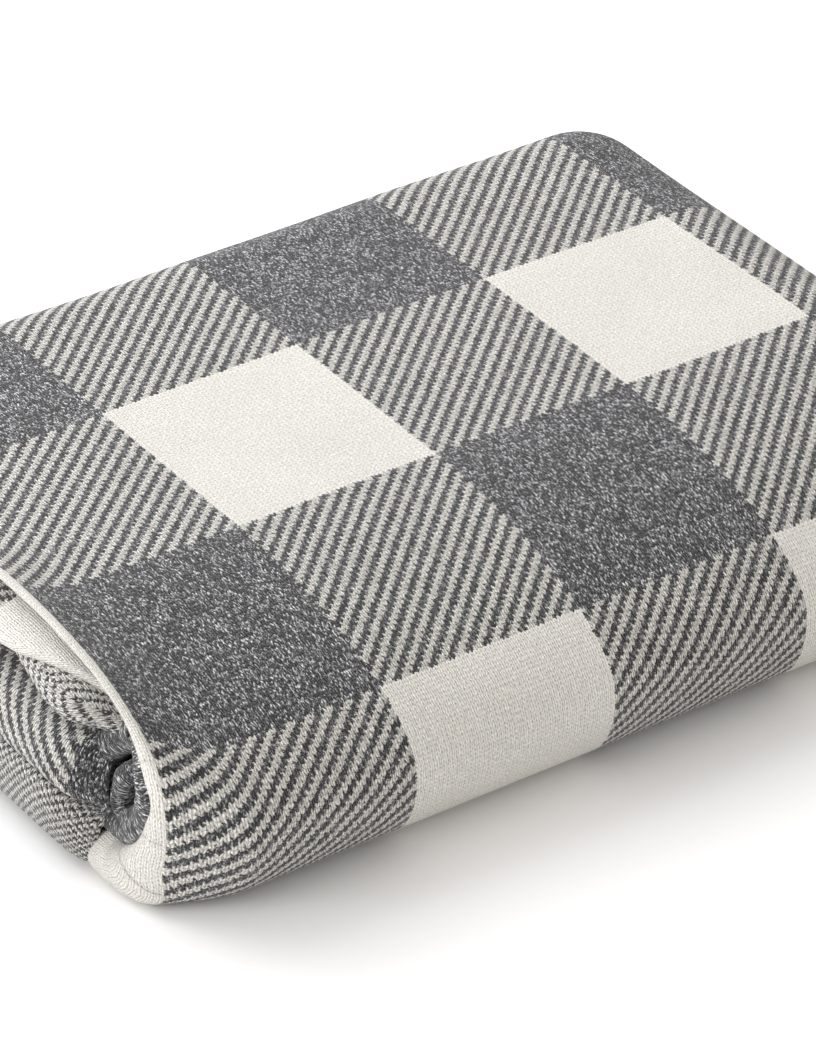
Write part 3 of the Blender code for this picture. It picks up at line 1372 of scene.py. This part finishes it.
# from between the folds round to the core's top
UPPER_FOLD = ClosedFold(
    "left_fold_upper",
    tip=(
        (-0.1650, 0.0250),
        (-0.1700, 0.0250),
        (-0.1745, 0.0258),
        (-0.1765, 0.0310),
        (-0.1762, 0.0390),
        (-0.1740, 0.0465),
        (-0.1710, 0.0515),
        (-0.1680, 0.0540),
        (-0.1650, 0.0550),
    ),
    near=(
        (-0.1660, 0.0300),
        (-0.1780, 0.0300),
        (-0.1858, 0.0310),
        (-0.1880, 0.0360),
        (-0.1868, 0.0435),
        (-0.1830, 0.0505),
        (-0.1770, 0.0550),
        (-0.1700, 0.0572),
        (-0.1630, 0.0578),
    ),
    full=(
        (-0.1660, 0.0350),
        (-0.1800, 0.0350),
        (-0.1892, 0.0354),
        (-0.1914, 0.0388),
        (-0.1905, 0.0450),
        (-0.1870, 0.0505),
        (-0.1800, 0.0545),
        (-0.1710, 0.0562),
        (-0.1630, 0.0566),
    ),
    near_front=-0.0840,
    knit_at=(0.0449, -0.0329),
    node="core_left_fold",
)
# from the ground round to between the folds
LOWER_FOLD = ClosedFold(
    "left_fold_lower",
    tip=(
        (-0.1740, 0.0030),
        (-0.1765, 0.0034),
        (-0.1795, 0.0060),
        (-0.1812, 0.0105),
        (-0.1815, 0.0155),
        (-0.1800, 0.0200),
        (-0.1770, 0.0225),
        (-0.1730, 0.0235),
        (-0.1680, 0.0240),
    ),
    near=(
        (-0.1740, 0.0012),
        (-0.1795, 0.0022),
        (-0.1842, 0.0058),
        (-0.1870, 0.0115),
        (-0.1882, 0.0185),
        (-0.1878, 0.0255),
        (-0.1855, 0.0292),
        (-0.1780, 0.0297),
        (-0.1660, 0.0297),
    ),
    full=(
        (-0.1740, 0.0012),
        (-0.1805, 0.0022),
        (-0.1858, 0.0066),
        (-0.1890, 0.0140),
        (-0.1908, 0.0225),
        (-0.1912, 0.0305),
        (-0.1892, 0.0345),
        (-0.1800, 0.0347),
        (-0.1660, 0.0347),
    ),
    near_front=-0.0845,
    knit_at=(-0.0481, 0.0436),
)


@dataclass(frozen=True)
class Curl:
    """A ply rolled into a drop-shaped ring that shows at the left end."""

    name: str
    centre: Place
    half: Place
    out: float
    fat: float
    check: tuple[int, int]
    hidden_end: float = -0.1662
    start_degrees: float = 93.0
    turn_degrees: float = 352.0
    points: int = 32
    end_points: int = 11
    narrowing: float = 0.70
    lean: float = 0.0035
    set_in: float = 0.0045
    uneven: float = 0.0005
    uneven_waves: float = 5.0
    uneven_shift: float = 900.0
    ply_share: float = 0.6
    rim: float = 0.0005
    steps: int = 3

    def build(self, finish: Finish) -> Piece:
        """Builds the curl.

        Args:
            finish: Its finish.

        Returns:
            The piece.
        """
        start = math.radians(self.start_degrees)
        around = np.linspace(start, math.radians(self.start_degrees + self.turn_degrees), self.points)
        rise = np.clip(np.sin(around), 0, 1) ** 2
        y = self.half[0] * np.cos(around) * (1 - self.narrowing * rise) - self.lean * np.sin(around)
        path = np.stack([y, self.half[1] * np.sin(around)], 1)
        step = np.gradient(path, axis=0)
        away = unit(np.stack([step[:, 1], -step[:, 0]], 1)) * self.fat
        path = path + np.array(self.centre)
        uneven = self.uneven * np.sin(around * self.uneven_waves + self.fat * self.uneven_shift)
        reach = self.out + self.set_in * rise + uneven
        hidden = np.full(len(around), self.hidden_end)
        rows = [(hidden, 1.0)]
        for t in np.linspace(0, math.pi, self.end_points):
            rows.append((reach + self.fat * (1 - math.sin(t)), math.cos(t)))
        rows.append((hidden, -1.0))
        sections = np.array([np.concatenate([x[:, None], path + away * side], 1) for x, side in rows])
        rims = Rims(self.rim, self.rim, self.rim, self.rim)
        at = Gauge().place(self.check)
        return loft(self.name, sections, self.fat * self.ply_share, at, rims, (finish,), self.steps)


OUTER_CURL = Curl("front_curl_outer", (-0.0992, 0.0408), (0.0160, 0.0196), -0.1756, 0.0038, (1, 0))
INNER_CURL = Curl("front_curl_inner", (-0.1040, 0.0385), (0.0072, 0.0112), -0.1748, 0.0026, (1, 2))


@dataclass
class Core:
    """The plies inside: nested folds, the big closed fold on the left and the curl in front."""

    finishes: Finishes
    gauge: Gauge = field(default_factory=Gauge)
    left: float = -0.1600
    right: float = 0.1770
    front: float = -0.1020
    upper_front: float = 0.020
    low: float = 0.0148
    middle: float = 0.0375
    high: float = 0.0612
    gap: float = 0.0003
    lower_back: float = 0.1415
    upper_back: float = 0.1285
    nesting: float = 0.0050
    inner_back: float = 0.0075
    inner_inset: float = 0.0012
    ply: float = 0.0044
    fold_ply: float = 0.0032
    fold_rim: float = 0.001
    turn_points: int = 15
    run_points: int = 50
    across_points: int = 60
    wave: float = 0.0009
    wave_from: float = 0.08
    wave_over: float = 0.05
    wave_across: float = 57.0
    wave_shift: float = 900.0
    knit_across: float = 0.2
    knit_shift: float = 9.0
    knit_along: float = 0.4

    def build(self) -> list[Piece]:
        """Builds the core.

        Returns:
            Its pieces.
        """
        leaves = (
            ("lower", (self.low, self.middle - self.gap), self.lower_back),
            ("upper", (self.middle + self.gap, self.high), self.upper_back),
        )
        pieces = []
        for which, (low, high), back in leaves:
            leaf = self.nested_fold(f"core_{which}_leaf", (low, high), back, 0.0)
            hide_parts(f"core_{which}_leaf")
            inside = (low + self.nesting, high - self.nesting)
            inner_back = back - self.inner_back
            fold = self.nested_fold(f"core_{which}_inner_fold", inside, inner_back, self.inner_inset)
            pieces += [leaf, fold]
        pieces.append(self.left_fold(UPPER_FOLD, self.finishes.face))
        pieces.append(self.left_fold(LOWER_FOLD, self.finishes.back))
        outer_curl = OUTER_CURL.build(self.finishes.heather)
        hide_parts("core_front_roll")
        pieces += [outer_curl, INNER_CURL.build(self.finishes.heather)]
        for piece in pieces:
            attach(piece, CORE_BODY)
        return pieces

    def nested_fold(self, name: str, heights: Place, back: float, inset: float) -> Piece:
        """Builds a ply folded double with its closed side at the back.

        Args:
            name: The piece's name.
            heights: Its underside and its upper side.
            back: How far back it reaches.
            inset: How far it stays in from the core's ends.

        Returns:
            The piece.
        """
        low, high = heights
        half = (high - low) / 2
        front_top = self.front + (self.upper_front if low > self.middle else 0.0)
        turn = np.linspace(-math.pi / 2, math.pi / 2, self.turn_points)
        bend = np.stack([back - half + half * np.cos(turn), (low + high) / 2 + half * np.sin(turn)], 1)
        lower_run = np.linspace((self.front + inset, low), bend[0], self.run_points)[:-1]
        upper_run = np.linspace(bend[-1], (front_top + inset, high), self.run_points)[1:]
        outline = np.concatenate([lower_run, bend, upper_run])[::-1]
        x = np.linspace(self.left + inset, self.right - inset, self.across_points)
        step = np.gradient(outline, axis=0)
        inward = unit(np.stack([-step[:, 1], step[:, 0]], 1))
        at_back = np.clip((outline[:, 0] - self.wave_from) / self.wave_over, 0, 1)
        wave = self.wave * np.sin(x * self.wave_across + low * self.wave_shift)[:, None] * at_back[None, :]
        grids = []
        for depth in (0.0, self.ply):
            yz = outline + inward * depth
            y = yz[None, :, 0] + wave
            z = np.broadcast_to(yz[None, :, 1], y.shape)
            grids.append(np.stack([np.broadcast_to(x[:, None], y.shape), y, z], -1))
        gone = lengths_along(outline)
        at = self.gauge.place((1, 1), self.knit_across + low * self.knit_shift, self.knit_along)
        flat = np.stack(np.meshgrid(x + at[0], gone + at[1], indexing="ij"), -1)
        rim = self.ply / 2
        faces = (self.finishes.face, self.finishes.back)
        piece = ply_mesh(name, grids[0], grids[1], flat, Rims(rim, rim, rim, rim), faces)
        return piece

    def left_fold(self, fold: ClosedFold, face: Finish) -> Piece:
        """Builds a rounded closed fold from its sections.

        Args:
            fold: The fold.
            face: The finish that shows.

        Returns:
            The piece.
        """
        sections = fold.sections().transpose(1, 0, 2)
        rims = Rims(self.fold_rim, self.fold_rim, self.ply / 2, self.fold_rim)
        piece = loft(fold.name, sections, self.fold_ply, fold.knit_at, rims, (face, self.finishes.back))
        if fold.node:
            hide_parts(fold.node)
        return piece


# ---- what grows on the cloth -----------------------------------------------------------------
@dataclass
class Fuzz:
    """Loose fibre ends that stand off the knit.

    A cotton fibre is about 0.02 mm thick, too fine to show, so each is drawn 0.07 mm thick at its
    root. The densities are fibres a square metre.
    """

    length: float = 0.0019
    width: float = 0.000035
    face_density: float = 45000.0
    edge_density: float = 630000.0
    lean: float = 1.25
    spin: float = 3.1
    shortest: float = 0.4
    longest: float = 1.2
    seed: int = 7

    def tree(self) -> bpy.types.GeometryNodeTree:
        """Makes the node tree that scatters fibre ends over a cloth.

        Returns:
            The tree.
        """
        tree = bpy.data.node_groups.new("loose_fibres", "GeometryNodeTree")
        inputs = {
            "Cloth": "NodeSocketGeometry",
            "Density": "NodeSocketFloat",
            "Length": "NodeSocketFloat",
            "Width": "NodeSocketFloat",
            "Seed": "NodeSocketInt",
            "Finish": "NodeSocketMaterial",
        }
        for name, kind in inputs.items():
            tree.interface.new_socket(name=name, in_out="INPUT", socket_type=kind)
        tree.interface.new_socket(name="Fibres", in_out="OUTPUT", socket_type="NodeSocketGeometry")
        n = Nodes(tree)
        given = n.add("NodeGroupInput").outputs
        cloth = {"Mesh": given["Cloth"], "Density": given["Density"], "Seed": given["Seed"]}
        scatter = n.add("GeometryNodeDistributePointsOnFaces", cloth)
        cone = {"Vertices": 3, "Radius Top": 0.0, "Radius Bottom": given["Width"], "Depth": given["Length"]}
        fibre = n.add("GeometryNodeMeshCone", cone)
        lean = n.add("FunctionNodeRandomValue", {"Seed": given["Seed"]}, data_type="FLOAT_VECTOR")
        lean.inputs[0].default_value = (-self.lean, -self.lean, -self.spin)
        lean.inputs[1].default_value = (self.lean, self.lean, self.spin)
        upright = {"Rotation": scatter.outputs["Rotation"]}
        leaning = n.add("FunctionNodeRotateRotation", upright, rotation_space="LOCAL")
        turned = n.add("FunctionNodeEulerToRotation", {0: lean.outputs[0]})
        tree.links.new(turned.outputs[0], leaning.inputs[1])
        size = n.add("FunctionNodeRandomValue", {2: self.shortest, 3: self.longest}, data_type="FLOAT")
        copies = {
            "Points": scatter.outputs["Points"],
            "Instance": fibre.outputs["Mesh"],
            "Rotation": leaning.outputs[0],
            "Scale": size.outputs[1],
        }
        placed = n.add("GeometryNodeInstanceOnPoints", copies)
        real = n.add("GeometryNodeRealizeInstances", {"Geometry": placed.outputs[0]})
        dressing = {"Geometry": real.outputs[0], "Material": given["Finish"]}
        dressed = n.add("GeometryNodeSetMaterial", dressing)
        n.add("NodeGroupOutput", {0: dressed.outputs[0]})
        return tree

    def grow(self, plies: Sequence[Piece], finish: Finish, wrap: Wrap) -> None:
        """Grows fibre ends on the outer ply and its finished edge, all but the pieces underneath.

        Args:
            plies: The outer plies, in the wrap's order.
            finish: The fibres' finish.
            wrap: The wrap, which gives the finished edges and bakes the fibres' placement.
        """
        tree = self.tree()
        growing = (
            ("outer_ply", "fuzz", plies, self.face_density),
            ("selvedge", "edge_fuzz", wrap.edges, self.edge_density),
        )
        for old, new, pieces, density in growing:
            for k, piece in enumerate(pieces[:-1]):
                values = {
                    "Density": density,
                    "Length": self.length,
                    "Width": self.width,
                    "Seed": self.seed + k,
                    "Finish": finish,
                }
                grown = from_tree(piece.name.replace(old, new), piece.data, tree, values)
                wrap.bend(grown, k)


def from_tree(
    name: str, mesh: bpy.types.Mesh, tree: bpy.types.GeometryNodeTree, values: dict[str, object]
) -> Piece:
    """Makes a plain mesh piece from a node tree.

    Args:
        name: The new piece's name.
        mesh: The mesh that the tree works on.
        tree: The tree.
        values: Its inputs by name.

    Returns:
        The new piece, without a modifier.
    """
    source = bpy.data.objects.new(name + "_source", mesh)
    bpy.context.scene.collection.objects.link(source)
    modifier = source.modifiers.new("made", "NODES")
    modifier.node_group = tree
    for item in tree.interface.items_tree:
        if item.in_out == "INPUT" and item.name in values:
            modifier[item.identifier] = values[item.name]
    source.update_tag()
    graph = bpy.context.evaluated_depsgraph_get()
    made = bpy.data.meshes.new_from_object(source.evaluated_get(graph), depsgraph=graph)
    made.name = name
    bpy.data.objects.remove(source)
    return show(name, made)


# ---- the studio ------------------------------------------------------------------------------
@dataclass(frozen=True)
class SoftBox:
    """A soft light that faces the blanket."""

    name: str
    at: tuple[float, float, float]
    size: float
    power: float
    tint: str

    def build(self) -> Piece:
        """Makes the light.

        Returns:
            The light.
        """
        data = bpy.data.lights.new(self.name, "AREA")
        data.size = self.size
        data.energy = self.power
        data.color = linear(self.tint)[:3]
        light = bpy.data.objects.new(self.name, data)
        bpy.context.scene.collection.objects.link(light)
        light.location = self.at
        light.rotation_euler = (-Vector(self.at)).to_track_quat("-Z", "Y").to_euler()
        return light


@dataclass
class Studio:
    """A pale floor, soft light and the camera."""

    camera_at: tuple[float, float, float] = (-1.0008, -1.4711, 1.1824)
    looks_at: tuple[float, float, float] = (-0.0207, -0.0403, 0.0517)
    lens: float = 204.5
    sensor: float = 36.0
    floor_size: float = 12.0
    floor_z: float = -0.0002
    floor_colour: str = "f7f7f7"
    room_colour: str = "fffcf9"
    room_strength: float = 0.82
    lights: tuple[SoftBox, ...] = (
        SoftBox("back_light", (-0.7, 1.7, 2.1), size=2.2, power=36.0, tint="f6f9ff"),
        SoftBox("rim_light", (-0.25, 0.85, 0.50), size=0.9, power=6.5, tint="f8faff"),
        SoftBox("left_light", (-1.7, 0.1, 0.7), size=1.0, power=11.0, tint="ffffff"),
    )

    def camera(self) -> Piece:
        """Makes the camera and gives it to the scene.

        Returns:
            The camera.
        """
        data = bpy.data.cameras.new("camera")
        data.lens = self.lens
        data.sensor_width = self.sensor
        data.clip_start = 0.05
        camera = bpy.data.objects.new("camera", data)
        bpy.context.scene.collection.objects.link(camera)
        camera.location = self.camera_at
        aim = Vector(self.looks_at) - Vector(self.camera_at)
        camera.rotation_euler = aim.to_track_quat("-Z", "Y").to_euler()
        bpy.context.scene.camera = camera
        return camera

    def floor(self) -> Piece:
        """Makes the floor.

        Returns:
            The floor.
        """
        half = self.floor_size / 2
        square = ((-half, -half), (half, -half), (half, half), (-half, half))
        corners = [(x, y, self.floor_z) for x, y in square]
        mesh = bpy.data.meshes.new("floor")
        mesh.from_pydata(corners, [], [(0, 1, 2, 3)])
        mesh.materials.append(Plain("floor_paper", self.floor_colour).build())
        floor = show("floor", mesh)
        return floor

    def room(self) -> None:
        """Makes the even light of the room."""
        world = bpy.data.worlds.new("room")
        world.use_nodes = True
        background = world.node_tree.nodes["Background"]
        background.inputs["Color"].default_value = linear(self.room_colour)
        background.inputs["Strength"].default_value = self.room_strength
        bpy.context.scene.world = world
        bpy.context.scene.view_settings.view_transform = "Standard"

    def build(self) -> None:
        """Builds the floor and the lights."""
        self.floor()
        self.room()
        for light in self.lights:
            light.build()


def main() -> None:
    """Builds the blanket and its studio in order."""
    logging.basicConfig(level=logging.INFO, format="%(name)s: %(message)s")
    studio = Studio()
    studio.camera()
    finishes = Finishes()
    wrap = Wrap(finishes)
    plies = wrap.build()
    Core(finishes).build()
    Fuzz().grow(plies, finishes.fibre, wrap)
    studio.build()


if __name__ == "__main__":
    main()
